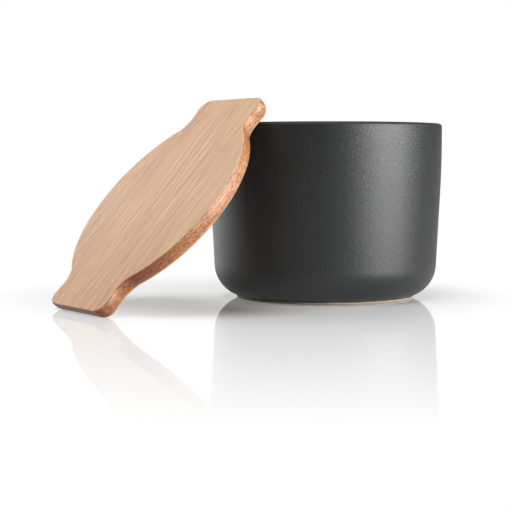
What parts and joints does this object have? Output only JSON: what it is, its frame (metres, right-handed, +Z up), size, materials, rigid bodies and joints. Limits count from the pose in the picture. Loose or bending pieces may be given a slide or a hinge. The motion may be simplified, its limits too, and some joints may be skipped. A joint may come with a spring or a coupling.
{
  "type": "salt box with lid",
  "caption": "Low round glazed stoneware pot for salt with a loose flat oak lid that has a spreading ear at each end and leans on the rim.",
  "frame": {"origin": "centre of the pot's foot ring, on the table", "axes": "+Z up along the pot's axis, -Y towards the viewer of the picture, +X to the viewer's right; the lid leans on the pot's front left"},
  "size_m": [0.1742, 0.1605, 0.0923],
  "materials": {
    "glaze": "matt charcoal glaze, bare tan clay on the foot ring",
    "oak": "sanded and lightly oiled, satin"
  },
  "bodies": {
    "pot": {"pot": "glaze"},
    "lid": {"lid_board": "oak"}
  },
  "joints": [
    {"name": "lid_lift", "type": "slide", "parent": "pot", "child": "lid", "axis": [0, 0, 1], "range_m": [0, 0.1]}
  ]
}
